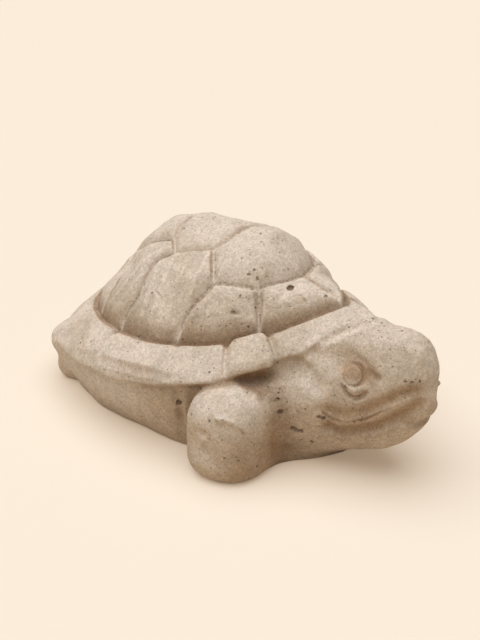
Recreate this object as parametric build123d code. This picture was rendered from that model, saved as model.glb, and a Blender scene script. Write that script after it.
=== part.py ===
from build123d import *
import math
import os

# Garden turtle cast in concrete, lying on its flat belly.
# Millimetres. Origin: centre of the resting face, under the middle of the shell.
# +Z up, the head looks along -Y, the turtle's right flank is on -X.
# The casting is divided along its sculpted lines into sections that meet face to face.

# Shell sizes. The rim's width is measured level, from the dome's groove to the edge.
shell_length = 221.5
shell_width = 158.0
shell_centre_y = -5.75
rim_width_side = 19.0
rim_width_front = 20.1
rim_width_rear = 27.8
rim_height = 112.0
rim_lip = 4.2
rim_crown = 1.8
raised_block_rise = 2.2
seam_height = 112.0
plate_rise = 3.6
plate_wall = 13.0
cone_height = 22.0

# Belly and skirt sizes. The foot's insets are measured level, in from the shell's edge.
foot_inset_side = 17.0
foot_inset_front = 14.5
foot_inset_rear = 11.0
skirt_inset = 4.5
skirt_groove_width = 5.0

# Head and neck sizes. The reach is how far the snout stands out past the shell.
head_reach = 42.0
head_length = 52.5
head_width = 64.0
head_height = 84.5
neck_length = 44.0
mouth_step = 1.6
eye_width = 11.0
eye_bulge = 3.4
eye_inset = 9.8
eye_setback = 35.0
eye_drop = 22.0

# Leg and tail sizes. A leg stands out level from the foot of the skirt at its stop.
foreleg_width = 41.0
foreleg_length = 44.0
foreleg_height = 47.0
foreleg_stand_out = 8.0
forefoot_width = 47.0
forefoot_length = 45.0
forefoot_height = 26.0
forefoot_out = 1.5
forefoot_ahead = 2.0
hindleg_width = 25.0
hindleg_height = 40.0
hindleg_stand_out = 0.5
leg_sink = 2.0
tail_length = 28.0
tail_reach = 10.0
tail_height = 25.0
overrun = 20.0

# Ring tables run from the front to the rear of one flank.
# Each row: share of the half width, share of the half length, share of the height.
groove_shares = [
    (0.0, -1.0, 0.78), (0.18, -0.915, 0.74), (0.37, -0.80, 0.69), (0.55, -0.655, 0.635),
    (0.77, -0.465, 0.585), (0.955, -0.19, 0.547), (1.0, 0.055, 0.515), (0.975, 0.305, 0.497),
    (0.925, 0.465, 0.49), (0.84, 0.595, 0.48), (0.70, 0.74, 0.467), (0.50, 0.875, 0.452),
    (0.26, 0.955, 0.446), (0.0, 1.0, 0.455),
]
edge_shares = [
    (0.0, -1.0, 0.695), (0.165, -0.925, 0.647), (0.34, -0.815, 0.58), (0.53, -0.69, 0.51),
    (0.785, -0.48, 0.43), (0.95, -0.245, 0.38), (1.0, 0.005, 0.332), (0.98, 0.25, 0.30),
    (0.93, 0.42, 0.28), (0.855, 0.575, 0.262), (0.725, 0.725, 0.238), (0.495, 0.86, 0.212),
    (0.245, 0.955, 0.20), (0.0, 1.0, 0.196),
]
foot_shares = [
    (0.0, -1.0), (0.195, -0.965), (0.385, -0.905), (0.58, -0.805), (0.79, -0.59),
    (0.945, -0.295), (0.975, -0.01), (0.995, 0.225), (0.985, 0.365), (0.92, 0.51),
    (0.84, 0.655), (0.615, 0.835), (0.29, 0.96), (0.0, 1.0),
]
ring_points = len(edge_shares)
ring_steps = 2

# Seam corners of the dome, in the same three shares as the groove ring.
corner_shares = {
    "front": (0.0, -0.67, 0.83),
    "front_side": (0.375, -0.54, 0.81),
    "shoulder": (0.575, -0.285, 0.81),
    "first_back": (0.35, -0.13, 0.905),
    "first_back_mid": (0.185, -0.165, 0.94),
    "first_back_top": (0.0, -0.165, 0.965),
    "hip": (0.485, 0.12, 0.85),
    "second_back": (0.35, 0.225, 0.87),
    "second_back_mid": (0.20, 0.285, 0.905),
    "second_back_top": (0.0, 0.32, 0.92),
    "flank_high": (0.785, -0.235, 0.73),
    "hip_low": (0.635, 0.225, 0.78),
    "hip_lower": (0.815, 0.215, 0.68),
    "third_side": (0.365, 0.435, 0.815),
    "third_back": (0.385, 0.605, 0.73),
    "rear_flank": (0.565, 0.55, 0.66),
    "third_back_top": (0.0, 0.675, 0.75),
}

# Scutes of the midline: corners of one half from the front to the rear, then the crest.
vertebral_corners = [
    ["front", "front_side", "shoulder", "first_back", "first_back_mid", "first_back_top"],
    ["first_back_top", "first_back_mid", "first_back", "hip", "second_back",
     "second_back_mid", "second_back_top"],
    ["second_back_top", "second_back_mid", "second_back", "third_side", "third_back",
     "third_back_top"],
    ["third_back_top", "third_back", "rear_flank", 9, 10, 11, 12, 13],
]
vertebral_crest_shares = [
    (0.0, -0.42, 0.965), (0.0, 0.07, 0.945), (0.0, 0.47, 0.865), (0.0, 0.83, 0.62),
]

# Scutes of one flank: corners in order, then the crest.
costal_corners = [
    ["front", 0, 1, 2, 3, "front_side"],
    ["front_side", 3, 4, 5, "flank_high", "shoulder"],
    ["shoulder", "flank_high", 5, 6, 7, "hip_lower", "hip_low", "hip", "first_back"],
    ["hip", "hip_low", "hip_lower", 7, 8, 9, "rear_flank", "third_back", "third_side",
     "second_back"],
]
costal_crest_shares = [
    (0.26, -0.74, 0.775), (0.65, -0.49, 0.69), (0.685, 0.0, 0.78), (0.56, 0.39, 0.755),
]
shoulder_share = 0.26

# Rim blocks: the ring positions between which each one lies.
rim_block_stops = [0, 3, 4, 5, 7, 10, 13]
raised_blocks = (1,)

# Skirt section between the floor and the rim: share of the way out, share of the way up.
skirt_bulge_shares = (0.66, 0.45)
skirt_groove_stops = (4.5, 6.0, 9.0)

# Ring positions of the legs along the skirt's foot.
foreleg_stop = 3.9
hindleg_stop = 10.5

# Head sections from the tip backwards: share of the length, of the half width,
# of the height for the top, and of the height for the underside.
head_section_shares = [
    (0.0, 0.125, 0.71, 0.57), (0.02, 0.25, 0.82, 0.52), (0.057, 0.36, 0.91, 0.46),
    (0.124, 0.44, 0.965, 0.414), (0.2, 0.50, 0.988, 0.343), (0.314, 0.61, 1.0, 0.266),
    (0.467, 0.735, 0.994, 0.195), (0.657, 0.83, 0.97, 0.148), (0.886, 0.94, 0.941, 0.095),
    (1.0, 1.0, 0.924, 0.065),
]
neck_section_shares = [
    (0.0, 1.0, 0.924, 0.065), (0.18, 1.09, 0.90, 0.024), (0.59, 1.25, 0.852, -0.07),
    (1.0, 1.25, 0.81, -0.115),
]
mouth_shares = [
    (-0.05, 0.655), (0.067, 0.655), (0.18, 0.61), (0.314, 0.54), (0.467, 0.457),
    (0.64, 0.406), (0.79, 0.413), (0.886, 0.44), (1.1, 0.49),
]
mouth_floor_share = -0.1
head_taper_share = 0.3
head_taper_power_share = 1.5
section_power_share = 2.5
section_points = 16

# Foreleg sections from the sole upwards: shares of the height. The last share is the
# fullness of the leg's corners.
foreleg_stop_shares = [0.02, 0.08, 0.2, 0.38, 0.5, 0.62, 0.8, 0.92, 0.98]
foreleg_power_share = 2.8

shell_front = shell_centre_y - shell_length / 2
shell_rear = shell_centre_y + shell_length / 2
dome_front = shell_front + rim_width_front
dome_rear = shell_rear - rim_width_rear
dome_width = shell_width - 2 * rim_width_side
foot_front = shell_front + foot_inset_front
foot_rear = shell_rear - foot_inset_rear
foot_width = shell_width - 2 * foot_inset_side
head_tip = shell_front - head_reach
cone_tip = Vector(0, (dome_front + dome_rear) / 2, cone_height)


def place(shares, width, front, rear, height):
    """Point of one flank from its three shares; +X is the turtle's left."""
    y = (front + rear) / 2 + shares[1] * (rear - front) / 2
    return Vector(shares[0] * width / 2, y, shares[2] * height)


def ring_point(table, u):
    """Smooth value of a ring table at position u, mirrored past both ends."""
    last = ring_points - 1
    i = min(int(u), last - 1)
    t = u - i

    def row(k):
        k = k if k >= 0 else -k
        flip = k > last
        k = 2 * last - k if flip else k
        return table[k]

    def signed(k):
        values = list(row(k))
        if k < 0 or k > last:
            values[0] = -values[0]
        return values

    a, b, c, d = signed(i - 1), signed(i), signed(i + 1), signed(i + 2)
    return [
        0.5 * (2 * q + (r - p) * t + (2 * p - 5 * q + 4 * r - s) * t * t
               + (3 * q - 3 * r + s - p) * t ** 3)
        for p, q, r, s in zip(a, b, c, d)
    ]


def dome_point(shares):
    return place(shares, dome_width, dome_front, dome_rear, seam_height)


def groove(u):
    return dome_point(ring_point(groove_shares, u))


def edge(u):
    return place(ring_point(edge_shares, u), shell_width, shell_front, shell_rear, rim_height)


def foot(u):
    return place(ring_point(foot_shares, u) + [0.0], foot_width, foot_front, foot_rear, 0)


def corner(name):
    return groove(name) if isinstance(name, int) else dome_point(corner_shares[name])


def mirrored(point):
    return Vector(-point.X, point.Y, point.Z)


def away(point, reach):
    """The point moved by a reach straight away from the tip of the dome's cone."""
    ray = point - cone_tip
    return cone_tip + ray * ((ray.length + reach) / ray.length)


def facet(*points):
    return Face(Wire.make_polygon(list(points), close=True))


def closed_solid(faces):
    """One solid from faces that close, with its volume counted positive."""
    solid = Solid(Shell(faces))
    return solid if solid.volume > 0 else Solid(Shell([-face for face in faces]))


def plate_top(loop, crest):
    """Bevel and facets of one scute: a raised plate inside its seam line."""
    peak = away(crest, plate_rise)
    shoulder = [away(p + (crest - p) * shoulder_share, plate_rise) for p in loop]
    faces = []
    for i, start in enumerate(loop):
        j = (i + 1) % len(loop)
        faces.append(facet(start, loop[j], shoulder[j]))
        faces.append(facet(start, shoulder[j], shoulder[i]))
        faces.append(facet(shoulder[i], shoulder[j], peak))
    return faces


def under(point):
    """The matching point on the inside of the plates."""
    return away(point, -plate_wall)


def scute(loop, crest):
    """Scute from its seam loop down to the core, with sides that aim at the cone tip."""
    faces = plate_top(loop, crest)
    faces += strip(loop, [under(p) for p in loop], closed=True)
    faces += core_top(loop, crest)
    return closed_solid(faces)


def core_top(loop, crest):
    """The core's facets under one scute."""
    low = [under(p) for p in loop]
    return [facet(p, low[(i + 1) % len(low)], under(crest)) for i, p in enumerate(low)]


def strip(first, second, closed=False):
    """Triangles between two lines of points."""
    faces = []
    count = len(first) if closed else len(first) - 1
    for i in range(count):
        j = (i + 1) % len(first)
        faces.append(facet(first[i], first[j], second[j]))
        faces.append(facet(first[i], second[j], second[i]))
    return faces


def corners(names):
    """Points of a seam line; the groove ring gets its points between the corners too."""
    points = []
    for name, following in zip(names, names[1:] + names[:1]):
        points.append(corner(name))
        if isinstance(name, int) and following == name + 1:
            points += [groove(name + k / ring_steps) for k in range(1, ring_steps)]
    return points


def full_loop(half):
    """Loop of a midline scute from the corners of one half."""
    points = corners(half)
    back = [mirrored(p) for p in points[-2:0:-1]]
    return points + back


scute_loops = []
for number, half in enumerate(vertebral_corners, 1):
    crest = dome_point(vertebral_crest_shares[number - 1])
    scute_loops.append((f"vertebral_scute_{number}", full_loop(half), crest))
for number, names in enumerate(costal_corners, 1):
    loop = corners(names)
    crest = dome_point(costal_crest_shares[number - 1])
    scute_loops.append((f"costal_scute_left_{number}", loop, crest))
    scute_loops.append((f"costal_scute_right_{number}", [mirrored(p) for p in loop],
                        mirrored(crest)))


def underside(u):
    """Seat of the rim on the skirt at ring position u: outer and inner end."""
    outer, inner = edge(u), under(groove(u))
    slope = inner - outer
    return outer + slope * (skirt_inset / slope.length), inner


def rim_section(u, rise):
    """Corners of a cut through the rim at ring position u, from its lower edge."""
    inner, outer = groove(u), edge(u)
    seat, root = underside(u)
    middle = (inner + outer) * 0.5 + Vector(0, 0, rim_lip / 2 + rim_crown + rise)
    lip = outer + Vector(0, 0, rim_lip + rise)
    return [outer, lip, middle, inner, root, seat]


def rim_block(start, stop, rise):
    """Rim between two ring positions, with flat triangles between its sections."""
    steps = (stop - start) * ring_steps
    cuts = [rim_section(start + k / ring_steps, rise) for k in range(steps + 1)]
    faces = []
    for k in range(steps):
        faces += strip(cuts[k], cuts[k + 1], closed=True)
    for outer, lip, middle, inner, root, seat in (cuts[0], cuts[-1]):
        faces += [facet(outer, lip, middle), facet(outer, middle, inner)]
        faces += [facet(outer, inner, seat), facet(seat, inner, root)]
    return closed_solid(faces)


def half_ring(line):
    """Points of one flank from a function of the ring position."""
    return [line(k / ring_steps) for k in range((ring_points - 1) * ring_steps + 1)]


def closed_ring(half):
    return half + [mirrored(p) for p in half[-2:0:-1]]


def both_strips(first, second):
    """Triangles between two lines of one flank, and the same on the other flank."""
    turned = [mirrored(p) for p in first], [mirrored(p) for p in second]
    return strip(first, second) + strip(*turned)


def bulge(u):
    """Fullest point of the skirt at ring position u."""
    base, top = foot(u), underside(u)[0]
    out_share, up_share = skirt_bulge_shares
    level = base + (Vector(top.X, top.Y, 0) - base) * out_share
    return level + Vector(0, 0, top.Z * up_share)


def stand(stop, reach):
    """Place on the floor at a reach straight out from the skirt's foot."""
    along = foot(stop + 1 / ring_steps) - foot(stop - 1 / ring_steps)
    return foot(stop) + Vector(along.Y, -along.X, 0).normalized() * reach


def flip(shape):
    return mirror(shape, about=Plane.YZ)


def main_solid(shape):
    """The largest solid of a cut, without crumbs that the cut leaves."""
    return max(shape.solids(), key=lambda s: s.volume)


def cut(shape, tools):
    return main_solid(shape - list(tools))


def ball(centre, width, length, height):
    """Ellipsoid from its three full sizes."""
    unit = Sphere(1)
    shaped = scale(unit, by=(width / 2, length / 2, height / 2))
    return Pos(*centre) * shaped


# Scutes and rim blocks
parts = {name: scute(loop, crest) for name, loop, crest in scute_loops}
for number, (start, stop) in enumerate(zip(rim_block_stops, rim_block_stops[1:])):
    rise = raised_block_rise if number in raised_blocks else 0
    block = rim_block(start, stop, rise)
    parts[f"marginal_scute_left_{number + 1}"] = block
    parts[f"marginal_scute_right_{number + 1}"] = flip(block)
shell = list(parts.values())

# Belly, skirt and the core under the plates
foot_line = half_ring(foot)
bulge_line = half_ring(bulge)
seat_line = half_ring(lambda u: underside(u)[0])
root_line = half_ring(lambda u: underside(u)[1])
faces = [facet(*closed_ring(foot_line))]
faces += both_strips(foot_line, bulge_line)
faces += both_strips(bulge_line, seat_line)
faces += both_strips(root_line, seat_line)
for _, loop, crest in scute_loops:
    faces += core_top(loop, crest)
body = closed_solid(faces)
for stop in skirt_groove_stops:
    for turned in (False, True):
        line = [foot(stop), bulge(stop), underside(stop)[0]]
        line = [mirrored(p) for p in line] if turned else line
        for start, end in zip(line, line[1:]):
            run = end - start
            rod = Cylinder(skirt_groove_width / 2, run.length + skirt_groove_width)
            body = body - Plane(origin=(start + end) / 2, z_dir=run) * rod
body = main_solid(body)
parts["body"] = body


def rounded_line(centre, across, up, taper_share=0.0):
    """Rounded closed line from its centre and the two half axes; the upper half tapers."""
    points = []
    for k in range(section_points):
        angle = 2 * math.pi * k / section_points
        c, s = math.cos(angle), math.sin(angle)
        power = 2 / section_power_share
        right = math.copysign(abs(c) ** power, c)
        high = math.copysign(abs(s) ** power, s)
        right *= 1 - taper_share * max(high, 0) ** head_taper_power_share
        points.append(centre + across * right + up * high)
    return Wire([Edge.make_spline(points, periodic=True)])


def head_outline(y, width_share, top_share, low_share):
    """Rounded section across the head or neck."""
    top, low = top_share * head_height, low_share * head_height
    across = Vector(width_share * head_width / 2, 0, 0)
    up = Vector(0, 0, (top - low) / 2)
    return rounded_line(Vector(0, y, (top + low) / 2), across, up, head_taper_share)


# Head, lower jaw, neck and eyes
ground = Pos(0, 0, -overrun / 2) * Box(2 * shell_length, 2 * shell_length, overrun)
skull_rows = [(head_tip + a * head_length, w, t, b) for a, w, t, b in head_section_shares]
skull = Solid.make_loft([head_outline(*row) for row in skull_rows])
jaw_side = [Vector(0, head_tip + a * head_length, b * head_height) for a, b in mouth_shares]
jaw_end, jaw_start = jaw_side[-1], jaw_side[0]
floor_z = mouth_floor_share * head_height
jaw_side += [Vector(0, jaw_end.Y, floor_z), Vector(0, jaw_start.Y, floor_z)]
jaw_face = Face(Wire.make_polygon(jaw_side, close=True))
jaw_bar = extrude(jaw_face, amount=head_width, dir=(1, 0, 0), both=True)
jaw_rows = []
for y, w, t, b in skull_rows[:-1]:
    slim = 2 * mouth_step / head_width
    jaw_rows.append((y + mouth_step, w - slim, t, b + slim / 2))
jaw_rows.append(skull_rows[-1])
jaw = Solid.make_loft([head_outline(*row) for row in jaw_rows])
blockers = [body, *shell]
head = cut(skull, [jaw_bar, *blockers])
jaw = cut(jaw & jaw_bar, blockers)
neck_rows = [(head_tip + head_length + a * neck_length, w, t, b)
             for a, w, t, b in neck_section_shares]
neck = Solid.make_loft([head_outline(*row) for row in neck_rows])
neck = cut(neck, [ground, *blockers])
for side, word in ((1, "left"), (-1, "right")):
    centre = (side * (head_width / 2 - eye_inset), head_tip + eye_setback,
              head_height - eye_drop)
    eye = ball(centre, 2 * eye_bulge, eye_width, eye_width)
    parts[f"eye_{word}"] = main_solid(eye - skull)
parts["head"] = head
parts["lower_jaw"] = jaw
parts["neck"] = neck


# Legs and tail
def foreleg():
    """Left foreleg: a full-cornered stump over a rounder paw."""
    base = stand(foreleg_stop, foreleg_stand_out)
    sections = []
    for share in foreleg_stop_shares:
        fullness = (1 - abs(2 * share - 1) ** foreleg_power_share) ** (1 / foreleg_power_share)
        across = Vector(fullness * foreleg_width / 2, 0, 0)
        ahead = Vector(0, fullness * foreleg_length / 2, 0)
        level = base + Vector(0, 0, share * foreleg_height)
        sections.append(rounded_line(level, across, ahead))
    stump = Solid.make_loft(sections)
    centre = base + Vector(forefoot_out, -forefoot_ahead, forefoot_height / 2 - leg_sink)
    paw = ball(centre, forefoot_width, forefoot_length, forefoot_height)
    return cut(stump + paw, [ground, neck, head, *blockers])


def hindleg():
    """Left hind leg."""
    centre = stand(hindleg_stop, hindleg_stand_out)
    centre += Vector(0, 0, hindleg_height / 2 - leg_sink)
    leg = ball(centre, hindleg_width, hindleg_width, hindleg_height)
    return cut(leg, [ground, *blockers])


for name, leg in (("foreleg", foreleg()), ("hind_leg", hindleg())):
    parts[name + "_left"] = leg
    parts[name + "_right"] = flip(leg)
tail = ball((0, shell_rear + tail_reach - tail_length / 2, tail_height / 2),
            tail_height, tail_length, tail_height)
parts["tail"] = cut(tail, [ground, *blockers])

os.makedirs("parts", exist_ok=True)
for name, solid in parts.items():
    export_step(solid, f"parts/{name}.step")
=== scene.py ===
import math

import bpy
import numpy as np
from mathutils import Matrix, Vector
from mathutils.geometry import delaunay_2d_cdt


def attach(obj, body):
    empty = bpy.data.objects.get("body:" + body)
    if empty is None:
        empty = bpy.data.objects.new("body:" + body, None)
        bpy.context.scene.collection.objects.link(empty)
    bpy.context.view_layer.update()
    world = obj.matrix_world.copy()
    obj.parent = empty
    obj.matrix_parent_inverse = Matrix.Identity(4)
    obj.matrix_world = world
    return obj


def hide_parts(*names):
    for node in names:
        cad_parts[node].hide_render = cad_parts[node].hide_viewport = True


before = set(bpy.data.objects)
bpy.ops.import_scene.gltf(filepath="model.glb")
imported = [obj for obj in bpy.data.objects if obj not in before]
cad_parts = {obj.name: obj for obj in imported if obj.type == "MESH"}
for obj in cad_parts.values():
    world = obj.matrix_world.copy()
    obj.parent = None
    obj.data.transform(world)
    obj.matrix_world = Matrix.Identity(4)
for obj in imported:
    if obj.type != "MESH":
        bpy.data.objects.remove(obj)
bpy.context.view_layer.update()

# Turtle figurine cast in concrete: one distance field in millimetres, meshed once and divided
# into the frame's sections. x runs to the turtle's left, y to its tail, z up; w is |x|.
millimetre = 0.001
cube_corners = [(i, j, k) for i in (0, 1) for j in (0, 1) for k in (0, 1)]
grid_step = 0.9

# Shell
shell_length, shell_width, shell_centre_y = 221.5, 158.0, -5.75
rim_width_side, rim_width_front, rim_width_rear = 19.0, 20.1, 27.8
rim_lip, rim_crown = 2.0, 2.2
seam_height = rim_height = 112.0
shell_front = shell_centre_y - shell_length / 2
shell_rear = shell_centre_y + shell_length / 2
dome_front = shell_front + rim_width_front
dome_rear = shell_rear - rim_width_rear
dome_width = shell_width - 2 * rim_width_side
foot_front, foot_rear, foot_width = shell_front + 14.5, shell_rear - 11.0, shell_width - 34.0

# Rings from the front to the rear of one flank: shares of half width, half length and height
groove_shares = [
    (0, -1, 0.78), (0.18, -0.915, 0.74), (0.37, -0.8, 0.69), (0.55, -0.655, 0.635),
    (0.77, -0.465, 0.585), (0.955, -0.19, 0.547), (1, 0.055, 0.515), (0.975, 0.305, 0.497),
    (0.925, 0.465, 0.49), (0.84, 0.595, 0.48), (0.7, 0.74, 0.467), (0.5, 0.875, 0.452),
    (0.26, 0.955, 0.446), (0, 1, 0.455),
]
edge_shares = [
    (0, -1, 0.695), (0.165, -0.925, 0.647), (0.34, -0.815, 0.58), (0.53, -0.69, 0.51),
    (0.785, -0.48, 0.43), (0.95, -0.245, 0.38), (1, 0.005, 0.332), (0.98, 0.25, 0.3),
    (0.93, 0.42, 0.28), (0.855, 0.575, 0.262), (0.725, 0.725, 0.238), (0.495, 0.86, 0.212),
    (0.245, 0.955, 0.2), (0, 1, 0.196),
]
foot_shares = [
    (0, -1), (0.195, -0.965), (0.385, -0.905), (0.58, -0.805), (0.79, -0.59),
    (0.945, -0.295), (0.975, -0.01), (0.995, 0.225), (0.985, 0.365), (0.92, 0.51),
    (0.84, 0.655), (0.615, 0.835), (0.29, 0.96), (0, 1),
]
last = len(edge_shares) - 1
lift_stops, under_lift = [0, 1.5, 2.4, 2.9, 3.6, 4.2], [1.0, 3.5, 6.5, 7.0, 4.5, 0]

# Points of the dome in the same shares: seam corners, then crests and breaks
dome_shares = {
    "front": (0, -0.67, 0.83), "front_side": (0.375, -0.54, 0.81),
    "shoulder": (0.575, -0.285, 0.81), "back_1": (0.35, -0.13, 0.905),
    "back_1_mid": (0.185, -0.165, 0.94), "back_1_top": (0, -0.165, 0.965),
    "hip": (0.485, 0.12, 0.85), "back_2": (0.35, 0.225, 0.87),
    "back_2_mid": (0.2, 0.285, 0.905), "back_2_top": (0, 0.32, 0.92),
    "flank_high": (0.785, -0.235, 0.73), "hip_low": (0.635, 0.225, 0.78),
    "hip_lower": (0.815, 0.215, 0.68), "side_3": (0.365, 0.435, 0.815),
    "back_3": (0.385, 0.605, 0.73), "rear_flank": (0.565, 0.55, 0.66),
    "back_3_top": (0, 0.675, 0.75),
    "crest_1": (0, -0.43, 0.965), "crest_1_side": (0.22, -0.37, 0.92),
    "crest_2": (0, 0.065, 0.945), "crest_2_side": (0.22, 0.065, 0.885),
    "crest_3": (0, 0.47, 0.87), "crest_3_side": (0.22, 0.455, 0.84),
    "crest_4": (0, 0.83, 0.62), "crest_4_side": (0.42, 0.72, 0.58),
    "slope_1": (0.18, -0.775, 0.785), "slope_1_side": (0.385, -0.685, 0.73),
    "slope_2": (0.65, -0.5, 0.68),
    "break_3_front": (0.685, -0.19, 0.785), "break_3": (0.685, -0.05, 0.79),
    "break_3_rear": (0.665, 0.17, 0.785),
    "break_4": (0.56, 0.365, 0.785), "break_4_top": (0.485, 0.39, 0.79),
}


def corners(text):
    """Names of dome points, and whole positions on the groove ring, from one string."""
    return [int(word) if word.isdigit() else word for word in text.split()]


seam_lines = [corners(text) for text in (
    "front front_side shoulder back_1 back_1_mid back_1_top",
    "back_1 hip back_2 back_2_mid back_2_top", "back_2 side_3 back_3 back_3_top",
    "front 0", "front_side 3", "shoulder flank_high 5", "hip hip_low hip_lower 7",
    "back_3 rear_flank 9")]
break_lines = [corners(text) for text in (
    "break_3_front break_3 break_3_rear hip_low", "shoulder break_3_front",
    "back_2 break_4_top break_4 hip_low", "break_4_top side_3",
    "crest_1 crest_1_side", "crest_2 crest_2_side", "crest_3 crest_3_side")]

# Plates: name, rise, width of the rounded edge and loop of corners
plates = [
    ("vertebral_scute_1", 4.6, 4.2, "front front_side shoulder back_1 back_1_mid back_1_top"),
    ("vertebral_scute_2", 4.2, 3.6,
     "back_1_top back_1_mid back_1 hip back_2 back_2_mid back_2_top"),
    ("vertebral_scute_3", 3.6, 3.2, "back_2_top back_2_mid back_2 side_3 back_3 back_3_top"),
    ("vertebral_scute_4", 2.8, 3.0, "back_3_top back_3 rear_flank 9 10 11 12 13"),
    ("costal_scute_1", 3.2, 2.0, "front 0 1 2 3 front_side"),
    ("costal_scute_2", 3.4, 2.0, "front_side 3 4 5 flank_high shoulder"),
    ("costal_scute_3", 3.2, 2.2, "shoulder flank_high 5 6 7 hip_lower hip_low hip back_1"),
    ("costal_scute_4", 3.4, 2.2, "hip hip_low hip_lower 7 8 9 rear_flank back_3 side_3 back_2"),
]
# Chisel marks: plate, the two dome points that give their way, and depth
stripe_width, stripe_count = 2.6, 80
chisel_strokes = [(8, "hip", 8, 0.55), (7, "hip", 6, 0.5),
                  (6, "flank_high", 5, 0.15), (4, "back_3", "rear_flank", 0.2)]
rim_stops = [0, 2.8, 3.78, 4.85, 6.95, 9.75, 13]
rim_seam_depths = [0.6, 2.4, 3.2, 1.0, 2.4, 2.0, 0.4]
rim_seam_width, seam_depth, seam_width = 2.0, 0.8, 1.0
groove_depth, groove_width, groove_dip, groove_dip_width = 2.8, 1.7, 0.8, 3.0
raised_block, raised_block_rise = 1, 2.6
map_blur, slope_blur, block_blur, under_blur, last_blur, steepest = 0.8, 1.5, 0.9, 2.5, 0.5, 2.4
# The third width is that of the painted shade along the ring groove.
spread_steps, past_edge, groove_shade_width, seam_dust_width = 24, 1.1, 2.6, 1.5
# Rounding of the rim's edge and of the hollow under it, and how the skirt swells up to the rim
edge_radius, hollow_radius, hollow_rise, hollow_start = 2.4, 3.0, 0.2, 6.0
swell_power, skirt_inset, skirt_steepness, skirt_radius = 1.7, 4.0, 0.93, 2.0


def ring(table, u):
    """Smooth rows of a ring table at positions u, mirrored past both ends."""
    rows, u = np.array(table, float), np.atleast_1d(u)
    flip = np.array([-1.0] + [1.0] * (rows.shape[1] - 1))
    rows = np.vstack([rows[1] * flip, rows, rows[-2] * flip])
    i = np.clip(np.floor(u).astype(int), 0, len(table) - 2)
    t = (u - i)[:, None]
    a, b, c, d = rows[i], rows[i + 1], rows[i + 2], rows[i + 3]
    return 0.5 * (2 * b + (c - a) * t + (2 * a - 5 * b + 4 * c - d) * t ** 2
                  + (3 * b - 3 * c + d - a) * t ** 3)


def place(rows, width, front, rear, height):
    """Points w, y, z from rows of shares."""
    rows = np.atleast_2d(rows)
    y = (front + rear) / 2 + rows[:, 1] * (rear - front) / 2
    z = rows[:, 2] * height if rows.shape[1] > 2 else np.zeros(len(rows))
    return np.stack([rows[:, 0] * width / 2, y, z], 1)


def groove_ring(u):
    return place(ring(groove_shares, u), dome_width, dome_front, dome_rear, seam_height)


def edge_ring(u):
    return place(ring(edge_shares, u), shell_width, shell_front, shell_rear, rim_height)


def foot_ring(u):
    return place(ring(foot_shares, u), foot_width, foot_front, foot_rear, 0)


ring_samples = np.linspace(0, last, last * 8 + 1)
groove_line, edge_line = groove_ring(ring_samples), edge_ring(ring_samples)
foot_line = foot_ring(ring_samples)


def dome_point(name):
    if isinstance(name, str):
        return place([dome_shares[name]], dome_width, dome_front, dome_rear, seam_height)[0]
    return groove_ring(name)[0]


# Height maps over one flank, on a grid of w and y
map_step, map_margin = 0.6, 9.0
map_w = np.arange(0, shell_width / 2 + map_margin, map_step)
map_y = np.arange(shell_front - map_margin, shell_rear + map_margin, map_step)
grid_w, grid_y = np.meshgrid(map_w, map_y, indexing="ij")


def paint(image, triangle):
    """Fills a triangle of a map with the plane through its three corners."""
    (x0, y0, z0), (x1, y1, z1), (x2, y2, z2) = triangle
    area = (y1 - y2) * (x0 - x2) + (x2 - x1) * (y0 - y2)
    if abs(area) < 1e-9:
        return
    cells = (np.array(triangle)[:, :2] - (map_w[0], map_y[0])) / map_step
    low, high = (cells.min(0) - 1).astype(int), (cells.max(0) + 2).astype(int)
    at = tuple(slice(max(a, 0), max(b, 0)) for a, b in zip(low, high))
    gw, gy = grid_w[at], grid_y[at]
    a = ((y1 - y2) * (gw - x2) + (x2 - x1) * (gy - y2)) / area
    b = ((y2 - y0) * (gw - x2) + (x0 - x2) * (gy - y2)) / area
    c = 1 - a - b
    inside = (a > -0.01) & (b > -0.01) & (c > -0.01)
    image[at][inside] = (a * z0 + b * z1 + c * z2)[inside]


def line_distance(start, end):
    """Distance of every map cell from a straight line."""
    (ax, ay), (bx, by) = start[:2], end[:2]
    dx, dy = bx - ax, by - ay
    t = ((grid_w - ax) * dx + (grid_y - ay) * dy) / max(dx * dx + dy * dy, 1e-9)
    t = np.clip(t, 0, 1)
    return np.hypot(grid_w - ax - t * dx, grid_y - ay - t * dy)


def lines_distance(lines):
    nearest = np.full(grid_w.shape, 1e3)
    for line in lines:
        for start, end in zip(line, line[1:]):
            nearest = np.minimum(nearest, line_distance(start, end))
    return nearest


def inside_loop(points):
    """Map cells inside a closed loop."""
    inside = np.zeros(grid_w.shape, bool)
    for (ax, ay), (bx, by) in zip(points, np.roll(points, -1, 0)):
        if ay == by:
            continue
        crossing = ax + (grid_y - ay) / (by - ay) * (bx - ax)
        inside ^= ((ay > grid_y) != (by > grid_y)) & (grid_w < crossing)
    return inside


def ring_distance(line):
    """Signed distance of every map cell from a ring, negative inside."""
    half = np.interp(map_y, line[:, 1], line[:, 0], left=-1, right=-1)
    return np.where(grid_w < half[None, :], -1, 1) * lines_distance([line])


def blur(image, radius):
    """Gaussian blur of a map, mirrored at the midline."""
    reach = max(1, int(3 * radius / map_step))
    weights = np.exp(-0.5 * (np.arange(-reach, reach + 1) * map_step / radius) ** 2)
    weights /= weights.sum()
    full = np.concatenate([image[:0:-1], image])
    padded = np.pad(full, reach, mode="edge")
    rows, columns = full.shape
    across = sum(w * padded[i:i + rows] for i, w in enumerate(weights))
    both = sum(w * across[:, i:i + columns] for i, w in enumerate(weights))
    return both[rows - len(image):]


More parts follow.
